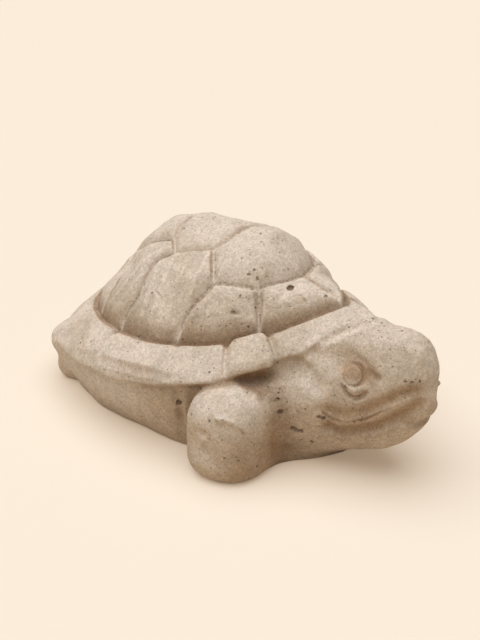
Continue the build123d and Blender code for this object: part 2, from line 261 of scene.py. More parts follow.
def spread(image, steps):
    """Carries the values at the border of a map's known cells outwards."""
    image = image.copy()
    for _ in range(steps):
        known = ~np.isnan(image)
        total, count = np.zeros(image.shape), np.zeros(image.shape)
        for shift, axis in ((1, 0), (-1, 0), (1, 1), (-1, 1)):
            total += np.roll(np.where(known, image, 0), shift, axis)
            count += np.roll(known, shift, axis)
        grown = ~known & (count > 0)
        image[grown] = (total / np.maximum(count, 1))[grown]
    return np.where(np.isnan(image), 0, image)


def dome_triangles():
    """Facets of the dome between its seams, breaks and crests."""
    lines, index = [], {}
    for line in seam_lines + break_lines + [[k / 2 for k in range(2 * last + 1)]]:
        keys = [index.setdefault(name, len(index)) for name in line]
        lines += list(zip(keys, keys[1:]))
    for name in dome_shares:
        index.setdefault(name, len(index))
    points = [dome_point(name) for name in index]
    flat = [Vector((p[0], p[1])) for p in points]
    _, _, faces, origins, _, _ = delaunay_2d_cdt(flat, lines, [], 0, 1e-6)
    return [[points[origins[i][0]] for i in face] for face in faces]


def outward(point, share=1.12):
    """A point of the rim moved away from the shell's middle, past the edge."""
    hub = np.array([0.0, shell_centre_y, 0.0])
    return hub + (point - hub) * (share, share, 1)


def build_maps():
    """Height and helper maps of the shell."""
    height = np.full(grid_w.shape, np.nan)
    for triangle in dome_triangles():
        paint(height, triangle)
    lip_line = edge_line + (0, 0, rim_lip)
    in_groove = ring_distance(groove_line)
    height[in_groove > 0] = np.nan
    shares = np.linspace(0, 1, 7)
    rim_lines = [groove_line + (lip_line - groove_line) * share
                 + (0, 0, 4 * rim_crown * share * (1 - share)) for share in shares]
    for inner, outer in zip(rim_lines, rim_lines[1:]):
        for i in range(len(inner) - 1):
            paint(height, (inner[i], inner[i + 1], outer[i]))
            paint(height, (outer[i], outer[i + 1], inner[i + 1]))
    height = spread(height, spread_steps)

    under = np.full(grid_w.shape, np.nan)
    for at, a, b in zip(ring_samples, edge_line, edge_line[1:]):
        level = (a[2] + b[2]) / 2 + np.interp(at, lift_stops, under_lift)
        middle = (0.0, shell_centre_y, level)
        paint(under, (middle, outward(a, past_edge), outward(b, past_edge)))
    under = spread(under, spread_steps)

    seam = lines_distance([[dome_point(name) for name in line] for line in seam_lines])
    ring_gap = np.abs(in_groove)
    rise = np.zeros(grid_w.shape)
    round_width = np.full(grid_w.shape, 3.0)
    section = np.zeros(grid_w.shape, int)
    for number, (_, plate_rise, width, loop) in enumerate(plates, 1):
        mask = inside_loop(np.array([dome_point(name)[:2] for name in dense(corners(loop))]))
        rise[mask], round_width[mask], section[mask] = plate_rise, width, number
    seat = np.minimum(seam, ring_gap)
    base = blur(height, map_blur)
    slope = np.hypot(*np.gradient(base, map_step))
    square = np.minimum(np.sqrt(1 + blur(slope, slope_blur) ** 2), steepest)
    rounding = np.exp(-(seat / blur(round_width, map_blur)) ** 1.4)
    relief = blur(rise, map_blur) * (1 - square * rounding)
    relief -= seam_depth * square * np.exp(-(seat / seam_width) ** 2)
    chisel = np.zeros(grid_w.shape)
    for number, start, end, depth in chisel_strokes:
        chisel += depth * stripes(start, end) * blur(section == number, slope_blur)
    relief += chisel

    dent = np.zeros(grid_w.shape)
    for stop, depth in zip(rim_stops, rim_seam_depths):
        gap = line_distance(groove_ring(stop)[0], outward(edge_ring(stop)[0]))
        dent += depth * np.exp(-(gap / rim_seam_width) ** 2)
    for number, (start, stop) in enumerate(zip(rim_stops, rim_stops[1:])):
        u = np.linspace(start, stop, 12)
        outer = np.array([outward(p) for p in edge_ring(u)])
        loop = np.vstack([groove_ring(u), outer[::-1]])[:, :2]
        mask = inside_loop(loop) & (in_groove > 0)
        section[mask] = len(plates) + 1 + number
    raised = blur(section == len(plates) + 1 + raised_block, block_blur)
    rim_relief = raised_block_rise * raised - dent
    rim_relief -= groove_dip * np.exp(-(ring_gap / groove_dip_width) ** 2)
    top = base + np.where(in_groove < 0, relief, rim_relief)
    top -= groove_depth * np.exp(-(ring_gap / groove_width) ** 2)
    top = blur(top, last_blur)
    steep = blur(np.sqrt(sum((run ** 2 for run in np.gradient(top, map_step)), 1)), slope_blur)
    return {
        "top": top, "steep": steep, "under": blur(under, under_blur), "section": section,
        "edge_gap": ring_distance(edge_line), "foot_gap": ring_distance(foot_line),
        "groove": np.exp(-(ring_gap / groove_shade_width) ** 2), "chisel": chisel,
        "seam": np.exp(-(seam / seam_dust_width) ** 2) * (in_groove < -1),
    }


def stripes(start, end):
    """Uneven chisel marks side by side along the way between two dome points."""
    (ax, ay), (bx, by) = dome_point(start)[:2], dome_point(end)[:2]
    run = math.hypot(bx - ax, by - ay)
    across = ((grid_w - ax) * (by - ay) - (grid_y - ay) * (bx - ax)) / run
    heights = np.random.default_rng(7).uniform(-1, 1, stripe_count)
    spot = across / stripe_width + stripe_count / 2
    cell = np.clip(np.floor(spot).astype(int), 0, stripe_count - 2)
    share = spot - cell
    return heights[cell] * (1 - share ** 3) + heights[cell + 1] * share ** 3


def dense(loop):
    """Loop with the groove ring's quarter steps between whole ring positions."""
    names = []
    for name, following in zip(loop, loop[1:] + loop[:1]):
        names.append(name)
        if isinstance(name, int) and following == name + 1:
            names += [name + k / 4 for k in range(1, 4)]
    return names


maps = build_maps()


def read(name, w, y):
    """Value of a map at any place, with the border carried on."""
    image = maps[name]
    fw = np.clip((w - map_w[0]) / map_step, 0, len(map_w) - 1.001)
    fy = np.clip((y - map_y[0]) / map_step, 0, len(map_y) - 1.001)
    i, j = fw.astype(int), fy.astype(int)
    a, b = fw - i, fy - j
    return ((image[i, j] * (1 - a) + image[i + 1, j] * a) * (1 - b)
            + (image[i, j + 1] * (1 - a) + image[i + 1, j + 1] * a) * b)


def smooth_min(a, b, radius):
    mix = np.clip(0.5 + 0.5 * (b - a) / radius, 0, 1)
    return b * (1 - mix) + a * mix - radius * mix * (1 - mix)


def smooth_max(a, b, radius):
    return -smooth_min(-a, -b, radius)


def ellipsoid(p, centre, radii):
    near = np.sqrt(sum(((p[i] - centre[i]) / radii[i]) ** 2 for i in range(3)))
    slope = np.sqrt(sum(((p[i] - centre[i]) / radii[i] ** 2) ** 2 for i in range(3)))
    return near * (near - 1) / (slope + 1e-9)


def capsule(p, points, radii):
    """Distance from a chain of round-ended cones."""
    nearest = None
    pairs = zip(zip(points, points[1:]), zip(radii, radii[1:]))
    for (start, end), (first, second) in pairs:
        start, end = np.array(start, float), np.array(end, float)
        run = end - start
        offset = [p[i] - start[i] for i in range(3)]
        t = np.clip(sum(offset[i] * run[i] for i in range(3)) / (run @ run), 0, 1)
        gap = np.sqrt(sum((offset[i] - t * run[i]) ** 2 for i in range(3)))
        gap = gap - (first + (second - first) * t)
        nearest = gap if nearest is None else np.minimum(nearest, gap)
    return nearest


# Head and neck: y, half width, top, underside, taper of the upper half
head_rows = np.array([
    (-158.5, 6.5, 66, 42, 0.3), (-155.5, 10.2, 74.5, 39, 0.28),
    (-152, 13, 80, 35, 0.28), (-148, 15.5, 82.5, 29, 0.3),
    (-142, 19.5, 84.5, 22.5, 0.35), (-134, 23.5, 84, 16.5, 0.36),
    (-124, 26.5, 82, 12.5, 0.33), (-112, 30, 79.5, 8, 0.28),
    (-98, 35, 76, 2, 0.25), (-80, 40, 72, -6, 0.2),
    (-60, 40, 68, -10, 0.2),
])
head_tip_y, head_end_y, neck_start_y = -158.5, -62.0, -106.0
head_tip_radius, head_end_radius, section_power = 8.0, 5.0, 2.5
eye_centre, eye_radius, eye_facing = (22.8, -123.4, 62.6), 5.4, np.array((0.80, -0.45, 0.40))
eye_facing /= np.linalg.norm(eye_facing)
eye_depth, eye_rounding, eye_ring_gap = 3, 1.5, 0.5
lip_points = [
    (0, -158.5, 57.3), (5, -157.5, 57.5), (10, -155, 57.4), (15.8, -149, 53.5),
    (21.3, -142, 47.8), (26, -134, 40.6), (29.7, -125, 36.3), (32, -117, 36.9),
    (32.5, -112, 39.2),
]
eye_across = np.cross(eye_facing, (0, 0, 1))
eye_across /= np.linalg.norm(eye_across)
eye_up = np.cross(eye_across, eye_facing)
eye_circle = [eye_centre + (eye_radius + eye_ring_gap) * (math.cos(t) * eye_across
                                                          + math.sin(t) * eye_up)
              for t in np.linspace(0, 2 * math.pi, 17)]

# Lines pressed into the surface or raised on it: depth, width and points w, y, z
mark_lines = {
    "cheek fold": (1.6, 2.9, [
        (10.5, -153.2, 60.6), (16, -147.5, 57), (21, -140, 51), (25, -131, 44.5),
        (28.5, -122, 40), (30.6, -114, 41)]),
    "lip": (-1.4, 1.7, [(12.8, -152.2, 55.6), *lip_points[3:]]),
    "hollow under the lip": (3.2, 3.8, [
        (9, -155, 51.5), (13.5, -147, 45), (18.6, -138, 37.5), (22.6, -128, 32),
        (25.7, -118, 28.5), (27.5, -112.4, 30)]),
    "beak": (-0.5, 4, [(0, -157.5, 48), (8, -155.5, 48)]),
    "muzzle": (1, 4, [(0, -158.5, 59), (8.8, -155.7, 58.5), (12, -153, 58)]),
    "beak notch": (2, 2.6, [(0, -153, 38.5), (6, -152, 38.5), (11, -149.5, 40)]),
    "brow": (-0.7, 4, [
        (24.2, -97.7, 71.4), (16.7, -110.9, 75.6), (13.5, -120.8, 77.9), (11.6, -131, 79.6),
        (9.2, -141.3, 81.3), (7.8, -149.3, 79.6), (4.8, -154.2, 74.7)]),
    "socket": (2.8, 5, [(21.5, -117, 67), (20.3, -122, 66.5), (20.5, -128, 64.5)]),
    "socket top": (0.8, 1.8, [
        (20, -114.5, 69), (18.3, -117, 71), (18.2, -121, 70), (17.9, -126.5, 68.5)]),
    "socket corner": (0.9, 2.2, [(18.6, -132, 65), (18.1, -137, 64.3)]),
    "eye ring": (1, 1, eye_circle),
    "lid": (-1.5, 2.4, [(25, -121, 57.2), (25.2, -126, 55.5), (23.2, -131, 57.5)]),
    "lid fold": (1.1, 1.5, [
        (25.6, -119.3, 55.9), (25.6, -122.2, 52.9), (24.6, -127.1, 51.5), (23.5, -130.4, 53.5),
        (22.7, -132.2, 56.2)]),
    "rim crease": (1.3, 2.2, [
        (30.7, -93.8, 63), (26.3, -97.6, 68.6), (22.1, -100.6, 72.8), (15.1, -106.6, 78.1),
        (7.3, -115.3, 82.7), (0, -119, 84)]),
    "shoulder fold": (-0.8, 1.6, [
        (74.2, -75.7, 38.9), (71.1, -81.3, 38.7), (68.5, -86, 36), (66.7, -89.3, 32.1)]),
    "under the fold": (0.6, 2.2, [
        (77, -76, 35), (73.5, -82, 34.5), (70, -87, 31.5), (68, -89, 28)]),
    "shoulder crease": (1.8, 1.8, [(80, -55, 33), (79, -62, 28.5), (77.5, -69, 28)]),
    "skirt seam 1": (1.3, 2.8, [(67.6, -40, 38), (64, -38, 24), (61, -36.5, 4)]),
    "skirt seam 2": (1.1, 2.8, [(73.6, -15, 33), (69, -12, 20), (63.5, -9, 4)]),
    "skirt seam 3": (1.1, 2.8, [(73, 23, 30), (70, 25, 20), (65, 27, 4)]),
    "skirt seam 4": (1.2, 2.8, [(66, 50, 26), (63, 53, 16), (59, 54, 3)]),
    "hollow under the rim": (3, 4.6, [
        (47, -72, 49), (41.5, -76.5, 51), (36, -84, 56), (33, -90, 59)]),
    "side of the neck": (1.4, 5, [(33, -91, 58), (31, -99, 57), (30, -105, 52)]),
    "front midline": (1.2, 2.5, [(0, -113, 86), (0, -104, 84), (0, -97, 84)]),
}

# Unevenness of the cast surface: size and depth of its swells
uneven = [(11.0, 0.30), (4.5, 0.16)]

# Bubble holes, most of them on the right flank: radius and x, y, z. Scratches: depth, width
# and points x, y, z.
holes = [
    (1.9, -11.6, -69.1, 90.6), (0.9, -5, -88.4, 90), (1, -10.7, -62.9, 90.4),
    (0.9, -38.2, -52.9, 79.9), (0.8, -32.1, -51.8, 87.1), (1, -21, -53.5, 94),
    (0.9, -22.3, -48.9, 95.8), (1.3, -41.2, -90.1, 35.5), (1.3, -36, -94.7, 25.6),
    (1.2, -34.9, -95.9, 24.4), (1.1, -33.6, -98.2, 24.2), (1, -28.9, -102, 17.4),
    (0.9, -31.1, -108.3, 35.6), (1, -30.1, -110.3, 35.4), (0.9, -27.8, -111.8, 33.3),
    (0.8, -40.5, -87.8, 42.1), (0.9, -73.3, -79.2, 38.8), (0.9, -77.9, -71.8, 19.2),
    (0.8, -13.3, -149.5, 65.1), (0.7, -11.4, -152.4, 64.8), (0.7, -7.8, -154.7, 65.2),
    (1.5, -65.5, -38.6, 31.2), (1, -26.5, -121.4, 55.9), (0.8, -40.8, -76.3, 66.9),
    (1, 24, 12, 98), (1.1, 52, 60, 52), (1, 33, -100, 45),
    (1.2, 70, -50, 45), (1, 60, 20, 62), (0.9, 10, -140, 82),
]
scratches = [
    (0.6, 0.7, [(-13.1, -77.3, 89.1), (-13.1, -80.9, 87.4)]),
    (0.7, 0.8, [(-38.5, -52, 79.5), (-36.6, -56.4, 79.5)]),
    (0.5, 0.8, [(-50.6, -10.7, 77.6), (-48, -4, 79)]),
]

# Legs and tail
foreleg_centre, foreleg_radii = (56.0, -67.5, 22.5), (21.2, 21.4, 25.5)
foreleg_power = 2.5
paw_centre, paw_radii = (56.5, -68.5, 8.0), (21.8, 21.2, 12.0)
arm_points, arm_radii = [(49, -69, 30), (34, -60, 40)], [18.3, 17]
hindleg_points, hindleg_radii = [(45.5, 73, 8), (48, 66, 24)], [10.5, 12]
hip_centre, hip_radii, hip_blend = (50, 73, 26), (9.5, 9.5, 8.5), 6.0
tail_points, tail_radii = [(0, 88, 20), (0, 106, 13)], [11, 8]
# Widths over which the forms run into each other
paw_blend, arm_blend, hindleg_blend, tail_blend = 7.0, 6.0, 6.0, 7.0
skirt_blend, eye_blend, resting_radius = 2.0, 0.8, 1.2


def past_maps(y):
    """How far places lie beyond the front or rear border of the maps."""
    return np.maximum(0, np.maximum(y - map_y[-1], map_y[0] - y))


def shell_shape(w, y, z):
    """Dome and rim, with a thin edge that overhangs the skirt."""
    gap = read("edge_gap", w, y) + past_maps(y)
    upper = (z - read("top", w, y)) / read("steep", w, y)
    shape = smooth_max(upper, gap, edge_radius)
    hollow = read("under", w, y) - 1.0 - z - hollow_rise * np.clip(-gap - hollow_start, 0, 30)
    shape = smooth_max(shape, hollow, hollow_radius)
    return smooth_min(shape, ellipsoid((w, y, z), hip_centre, hip_radii), hip_blend)


def skirt_shape(w, y, z):
    """Belly and skirt from the foot up into the shell."""
    out, under = past_maps(y), read("under", w, y)
    rise = np.clip(z / np.maximum(under, 5), 0, 1.3)
    swell = 1 - np.clip(1 - rise, 0, 1) ** swell_power
    low, high = read("foot_gap", w, y) + out, read("edge_gap", w, y) + skirt_inset + out
    side = (low * (1 - swell) + high * swell) * skirt_steepness
    ceiling = np.minimum(under + 12, read("top", w, y) - 6)
    return smooth_max(side, z - ceiling, skirt_radius)


def head_shape(w, y, z):
    """Head and neck without the eye and the mouth."""
    half, top, low, taper = (np.interp(y, head_rows[:, 0], column) for column in head_rows.T[1:])
    middle, tall = (top + low) / 2, (top - low) / 2
    level = (z - middle) / tall
    half = half * (1 - taper * np.clip(level, 0, 1) ** 1.5)
    away = (np.abs(w / half) ** section_power + np.abs(level) ** section_power)
    shape = (away ** (1 / section_power) - 1) * np.minimum(half, tall) * 0.9
    shape = smooth_max(shape, head_tip_y - y, head_tip_radius)
    return smooth_max(shape, y - head_end_y, head_end_radius)


def mark(p, points, width):
    """Bell around a chain of points."""
    low, high = np.min(points, 0) - 3 * width, np.max(points, 0) + 3 * width
    near = np.all([(q > a) & (q < b) for q, a, b in zip(p, low, high)], 0)
    bell = np.zeros(p[0].shape)
    if near.any():
        gap = capsule([q[near] for q in p], points, [0] * len(points))
        bell[near] = np.exp(-(gap / width) ** 2)
    return bell


def eye_shape(p):
    """Low round button with a flat front."""
    offset = [p[i] - eye_centre[i] for i in range(3)]
    along = sum(offset[i] * eye_facing[i] for i in range(3))
    away = np.sqrt(np.maximum(sum(q ** 2 for q in offset) - along ** 2, 0))
    front = np.abs(along + eye_depth) - eye_depth + 0.02 * away ** 2
    return smooth_max(away - eye_radius, front, eye_rounding)


def box_ball(p, centre, radii, power):
    """Ellipsoid with fuller corners."""
    away = sum(np.abs((p[i] - centre[i]) / radii[i]) ** power for i in range(3))
    return (away ** (1 / power) - 1) * min(radii) * 0.95


lump_values, lump_primes = np.random.default_rng(11).uniform(-1, 1, 4096), (7919, 104729, 1299709)


def lumps(x, y, z, size):
    """Smooth random swells of a given size, between -1 and 1."""
    cells, shares = [], []
    for value in (x, y, z):
        cell = np.floor(value / size)
        share = value / size - cell
        cells.append(cell.astype(np.int64))
        shares.append(share * share * (3 - 2 * share))
    total = 0
    for corner in cube_corners:
        pick = sum((cell + step) * prime for cell, step, prime in zip(cells, corner, lump_primes))
        pick = pick % len(lump_values)
        weight = 1
        for step, share in zip(corner, shares):
            weight = weight * (share if step else 1 - share)
        total = total + lump_values[pick] * weight
    return total


def foreleg_shape(p):
    upper = box_ball(p, foreleg_centre, foreleg_radii, foreleg_power)
    paw = ellipsoid(p, paw_centre, paw_radii)
    arm = capsule(p, arm_points, arm_radii)
    return smooth_min(smooth_min(upper, paw, paw_blend), arm, arm_blend)


def parts_of(w, y, z):
    """Distances of the named forms, before they are joined."""
    p = (w, y, z)
    return {
        "shell": shell_shape(w, y, z), "body": skirt_shape(w, y, z),
        "head": head_shape(w, y, z), "foreleg": foreleg_shape(p),
        "hind_leg": capsule(p, hindleg_points, hindleg_radii),
        "tail": capsule(p, tail_points, tail_radii),
    }


def field(x, y, z):
    """Signed distance of the whole figurine, negative inside."""
    w = np.abs(x)
    p = (w, y, z)
    forms = parts_of(w, y, z)
    whole = smooth_min(forms["shell"], forms["body"], skirt_blend)
    # Blends that widen: the head's in front and above, the foreleg's in front and inwards
    blend = 6 + 5 * np.clip((-88 - y) / 15, 0, 1) * np.clip((z - 45) / 10, 0, 1)
    whole = smooth_min(whole, forms["head"], blend)
    fill = 3 + 12 * np.clip((-74 - y) / 8, 0, 1) * np.clip((62 - w) / 10, 0, 1)
    whole = smooth_min(whole, forms["foreleg"], fill)
    for depth, width, points in mark_lines.values():
        whole = whole + depth * mark(p, points, width)
    whole = smooth_min(whole, eye_shape(p), eye_blend)
    whole = smooth_min(whole, forms["hind_leg"], hindleg_blend)
    whole = smooth_min(whole, forms["tail"], tail_blend)
    for size, depth in uneven:
        whole = whole + depth * lumps(x, y, z, size)
    for depth, width, points in scratches:
        whole = whole + depth * mark((x, y, z), points, width)
    for radius, *centre in holes:
        gap = np.sqrt((x - centre[0]) ** 2 + (y - centre[1]) ** 2 + (z - centre[2]) ** 2)
        whole = np.maximum(whole, radius - gap)
    return smooth_max(whole, -z, resting_radius)


# Mesh of the field: sampled only in blocks near the surface
mesh_low, mesh_high = np.array([-86.0, -162.0, -2.0]), np.array([86.0, 120.0, 120.0])
block_cells, blocks_at_once = 10, 400
slack = 1.7  # the field can be this many times further off than it says


def sample_field():
    """Grid of field values; blocks far from the surface hold only their sign."""
    counts = np.ceil((mesh_high - mesh_low) / grid_step).astype(int) + 1
    blocks = np.ceil(counts / block_cells).astype(int)
    centres = [low + grid_step * block_cells * (np.arange(count) + 0.5)
               for low, count in zip(mesh_low, blocks)]
    coarse = np.stack(np.meshgrid(*centres, indexing="ij"), -1).reshape(-1, 3)
    values = field(*coarse.T).reshape(blocks)
    reach = grid_step * (block_cells / 2 + 1) * math.sqrt(3) * slack
    signs = np.sign(values)
    for axis in range(3):
        signs = np.repeat(signs, block_cells, axis)
    grid = 1e3 * signs[:counts[0], :counts[1], :counts[2]]
    offsets = np.stack(np.meshgrid(*[np.arange(block_cells)] * 3, indexing="ij"), -1)
    near = np.argwhere(np.abs(values) < reach)
    for start in range(0, len(near), blocks_at_once):
        firsts = near[start:start + blocks_at_once, None] * block_cells
        cells = (firsts + offsets.reshape(-1, 3)).reshape(-1, 3)
        cells = cells[(cells < counts).all(1)]
        grid[tuple(cells.T)] = field(*(mesh_low + cells * grid_step).T)
    return grid


def surface_net(grid):
    """Vertices and quads of the zero surface of a grid."""
    solid = grid < 0
    shape = np.array(grid.shape)
    steps = np.array(cube_corners)
    cell_box = tuple(shape - 1)
    count = np.zeros(cell_box, int)
    for i, j, k in steps:
        count += solid[i:i + cell_box[0], j:j + cell_box[1], k:k + cell_box[2]]
    active = (count > 0) & (count < 8)
    cells = np.argwhere(active)
    number = np.full(cell_box, -1)
    number[active] = np.arange(len(cells))
    total, crossings = np.zeros((len(cells), 3)), np.zeros(len(cells))
    for a in range(8):
        for b in range(a + 1, 8):
            if np.abs(steps[a] - steps[b]).sum() != 1:
                continue
            first = grid[tuple((cells + steps[a]).T)]
            second = grid[tuple((cells + steps[b]).T)]
            cut = (first < 0) != (second < 0)
            share = np.clip(first[cut] / (first[cut] - second[cut]), 0, 1)
            total[cut] += steps[a] + (steps[b] - steps[a]) * share[:, None]
            crossings[cut] += 1
    points = mesh_low + (cells + total / crossings[:, None]) * grid_step
    quads = []
    for axis in range(3):
        one, two = [a for a in range(3) if a != axis]
        edges = np.argwhere(np.diff(solid, axis=axis))
        edges = edges[((edges > 0) & (edges < shape - 1))[:, [one, two]].all(1)]
        e, f = np.eye(3, dtype=int)[[one, two]]
        quad = np.stack([number[tuple((edges - step).T)] for step in (e + f, f, 0 * e, e)], 1)
        turned = solid[tuple(edges.T)] != (axis == 1)
        quad[~turned] = quad[~turned][:, ::-1]
        quads.append(quad)
    return points, np.vstack(quads)


def gradient(points, reach=0.25):
    slopes = [field(*(points + step).T) - field(*(points - step).T) for step in np.eye(3) * reach]
    return np.stack(slopes, 1) / (2 * reach)


def settle(points, rounds, flattest=0.2, longest=0.6):
    """Moves points onto the field's zero surface."""
    for _ in range(rounds):
        slope = gradient(points)
        share = field(*points.T) / np.maximum((slope ** 2).sum(1), flattest)
        points = points - slope * np.clip(share, -longest, longest)[:, None]
    return points


surface_points, surface_quads = surface_net(sample_field())
surface_points = settle(surface_points, 2)


# Sections: each quad goes to the form that makes its surface
jaw_below_lip, eye_skin = 2.0, 0.3


def section_names():
    """Name of the frame's node for every quad."""
    centre = surface_points[surface_quads].mean(1)
    w, y, z = np.abs(centre[:, 0]), centre[:, 1], centre[:, 2]
    forms = parts_of(w, y, z)
    names = np.array(list(forms), dtype=object)[np.argmin(np.stack(list(forms.values())), 0)]
    i = np.clip(np.rint((w - map_w[0]) / map_step).astype(int), 0, len(map_w) - 1)
    j = np.clip(np.rint((y - map_y[0]) / map_step).astype(int), 0, len(map_y) - 1)
    number = np.where(names == "shell", maps["section"][i, j], 0)
    for k, (name, *_) in enumerate(plates, 1):
        names[number == k] = name
    for k in range(1, len(rim_stops)):
        names[number == len(plates) + k] = f"marginal_scute_{k}"
    names[names == "shell"] = "body"
    head = names == "head"
    names[head & (y > neck_start_y)] = "neck"
    lips = np.array(lip_points, float)
    mouth_z = np.interp(y, lips[:, 1], lips[:, 2]) - jaw_below_lip
    names[head & (y <= neck_start_y) & (z < mouth_z)] = "lower_jaw"
    names[head & (eye_shape((w, y, z)) < eye_skin)] = "eye"
    for side, here in (("left", centre[:, 0] > 0), ("right", centre[:, 0] <= 0)):
        for name in np.unique(names[here].astype(str)):
            if name.startswith(("costal", "marginal")):
                names[here & (names == name)] = name.replace("scute", "scute_" + side)
            elif name in ("foreleg", "hind_leg", "eye"):
                names[here & (names == name)] = f"{name}_{side}"
    return names


def shared_edges(values):
    """The quads' edges in order, a value of the quad for each, and where an edge comes twice."""
    starts, ends = surface_quads.ravel(), np.roll(surface_quads, -1, 1).ravel()
    low, high = np.minimum(starts, ends), np.maximum(starts, ends)
    order = np.lexsort((high, low))
    low, high, values = low[order], high[order], np.repeat(values, 4)[order]
    return low, high, values, (low[1:] == low[:-1]) & (high[1:] == high[:-1])


def merge_islands(names, smallest=60.0, passes=3):
    """Gives stray groups of quads below an area to the section around them."""
    kinds, kind = np.unique(names.astype(str), return_inverse=True)
    _, _, quad, pair = shared_edges(np.arange(len(surface_quads)))
    first, second = quad[:-1][pair], quad[1:][pair]
    for _ in range(passes):
        label = np.arange(len(names))
        same = kind[first] == kind[second]
        one, two = first[same], second[same]
        while True:
            best = np.minimum(label[one], label[two])
            fresh = label.copy()
            np.minimum.at(fresh, one, best)
            np.minimum.at(fresh, two, best)
            fresh = fresh[fresh]
            if (fresh == label).all():
                break
            label = fresh
        size = np.bincount(label, minlength=len(names))[label]
        small = size * grid_step ** 2 < smallest
        votes = np.zeros((len(names), len(kinds)), np.int32)
        for a, b in ((first, second), (second, first)):
            other = small[a] & (kind[a] != kind[b])
            np.add.at(votes, (label[a[other]], kind[b[other]]), 1)
        chosen = votes.argmax(1)[label]
        moved = small & (votes.sum(1)[label] > 0)
        kind = np.where(moved, chosen, kind)
        if not moved.any():
            break
    return kinds[kind].astype(object)


quad_names = merge_islands(section_names())


def ease_borders(points, rounds=6, cell_rounds=3):
    """Smooths the lines between sections along themselves, then the cells beside them."""
    owner = np.unique(quad_names.astype(str), return_inverse=True)[1]
    low, high, owner, pair = shared_edges(owner)
    pair &= owner[1:] != owner[:-1]
    border = np.stack([low[1:][pair], high[1:][pair]], 1)
    whole = np.stack([low, high], 1)
    fixed = np.zeros(len(points), bool)
    fixed[border.ravel()] = True
    near = fixed.copy()
    for _ in range(2):
        near[whole[near[whole].any(1)].ravel()] = True

    def middles(edges):
        total, count = np.zeros(points.shape), np.zeros(len(points))
        for a, b in (edges.T, edges.T[::-1]):
            np.add.at(total, a, points[b])
            np.add.at(count, a, 1)
        return total / np.maximum(count, 1)[:, None]

    for _ in range(rounds):
        points = np.where(fixed[:, None], (points + middles(border)) / 2, points)
    for _ in range(cell_rounds):
        points = np.where((near & ~fixed)[:, None], (points + middles(whole)) / 2, points)
    points[near] = settle(points[near], 2)
    return points


surface_points = ease_borders(surface_points)
surface_normals = gradient(surface_points)
surface_normals /= np.linalg.norm(surface_normals, axis=1, keepdims=True)


# Values for the material at every vertex
def hollowness(reach):
    """How far the surface bends inwards: 0 flat or round, 1 in a crease."""
    ahead = field(*(surface_points + surface_normals * reach).T)
    return np.clip(1 - ahead / reach, -1, 1)


surface_w, surface_y = np.abs(surface_points[:, 0]), surface_points[:, 1]
surface_p = (surface_w, surface_y, surface_points[:, 2])
# Lines of painted shade, and lines where painted shade is mostly left off: width and points w, y, z
shade_lines = [
    (6.5, [(22, -119, 65), (20, -130, 64)]), (4.5, mark_lines["hollow under the lip"][2]),
    (4, mark_lines["cheek fold"][2]), (10, [(50, -86, 12), (66, -84, 12)]),
    (7, [(46, -86, 30), (46, -88, 12)]),
]
pale_lines = [
    (22, [(0, -152, 84), (0, -105, 86)]), (7, [(35, -86, 56), (29, -99, 56)]),
    (20, [(74, 0, 26), (70, 40, 24), (62, 62, 20)]),
]
crease_reach, hollow_reach = 2.5, 9.0
pit_edge, pit_fade = 1.2, 0.35
shell_from_y, shell_above_under = -108, 3
on_shell = surface_points[:, 2] > read("under", surface_w, surface_y) + shell_above_under
on_shell &= surface_y > shell_from_y


def pit_value(radius, *centre):
    """1 in a bubble hole, falling to 0 around it."""
    gap = np.linalg.norm(surface_points - centre, axis=1)
    return np.clip((pit_edge * radius - gap) / (pit_fade * radius), 0, 1)


vertex_values = {
    "crease": hollowness(crease_reach), "hollow": hollowness(hollow_reach),
    "facing_up": surface_normals[:, 2], "pit": np.max([pit_value(*hole) for hole in holes], 0),
}
for key, lines in (("line_shade", shade_lines), ("pale", pale_lines)):
    vertex_values[key] = np.max([mark(surface_p, points, width) for width, points in lines], 0)
for key in ("seam", "groove", "chisel"):
    vertex_values[key] = np.where(on_shell, read(key, surface_w, surface_y), 0)


# Concrete
class Nodes:
    """Short calls that add nodes to a material."""

    def __init__(self, tree):
        self.tree = tree

    def add(self, kind, inputs=(), **settings):
        node = self.tree.nodes.new("ShaderNode" + kind)
        for key, value in settings.items():
            setattr(node, key, value)
        return self.feed(node, inputs)

    def feed(self, node, inputs):
        """Links sockets to a node's inputs, and sets the inputs that get a plain value."""
        for key, value in dict(inputs).items():
            if isinstance(value, bpy.types.NodeSocket):
                self.tree.links.new(value, node.inputs[key])
            else:
                node.inputs[key].default_value = value
        return node

    def math(self, operation, a, b=0.0, clamp=False):
        return self.add("Math", {0: a, 1: b}, operation=operation, use_clamp=clamp).outputs[0]

    def times(self, a, b):
        return self.math("MULTIPLY", a, b)

    def most(self, a, b):
        return self.math("MAXIMUM", a, b)

    def value(self, name):
        return self.add("Attribute", attribute_name=name).outputs["Fac"]

    def noise(self, spot, size, detail, roughness, shift):
        inputs = {"Vector": spot, "W": shift, "Scale": 1 / size, "Detail": detail,
                  "Roughness": roughness}
        return self.add("TexNoise", inputs, noise_dimensions="4D").outputs["Fac"]

    def span(self, value, low, high, to_low=0.0, to_high=1.0):
        inputs = {0: value, 1: low, 2: high, 3: to_low, 4: to_high}
        return self.add("MapRange", inputs, interpolation_type="SMOOTHSTEP").outputs[0]

    def mix(self, share, a, b, blend="MIX"):
        inputs = {"Factor": share, 6: a, 7: b}
        return self.add("Mix", inputs, data_type="RGBA", blend_type=blend).outputs[2]


grey_stone, brown_stone = (0.82, 0.70, 0.592, 1), (0.67, 0.55, 0.43, 1)
dust, pore_dark = (0.84, 0.745, 0.64, 1), (0.15, 0.11, 0.08, 1)
# Colours multiplied in: painted shade in creases, hollows and the ring groove; painted shade with
# some brown stain on faces turned down; painted shade along lines in recesses.
crease_shade, low_shade_and_stain, line_shade_colour = (0.50, 0.39, 0.29, 1), (0.82, 0.74, 0.65, 1), (0.66, 0.54, 0.42, 1)
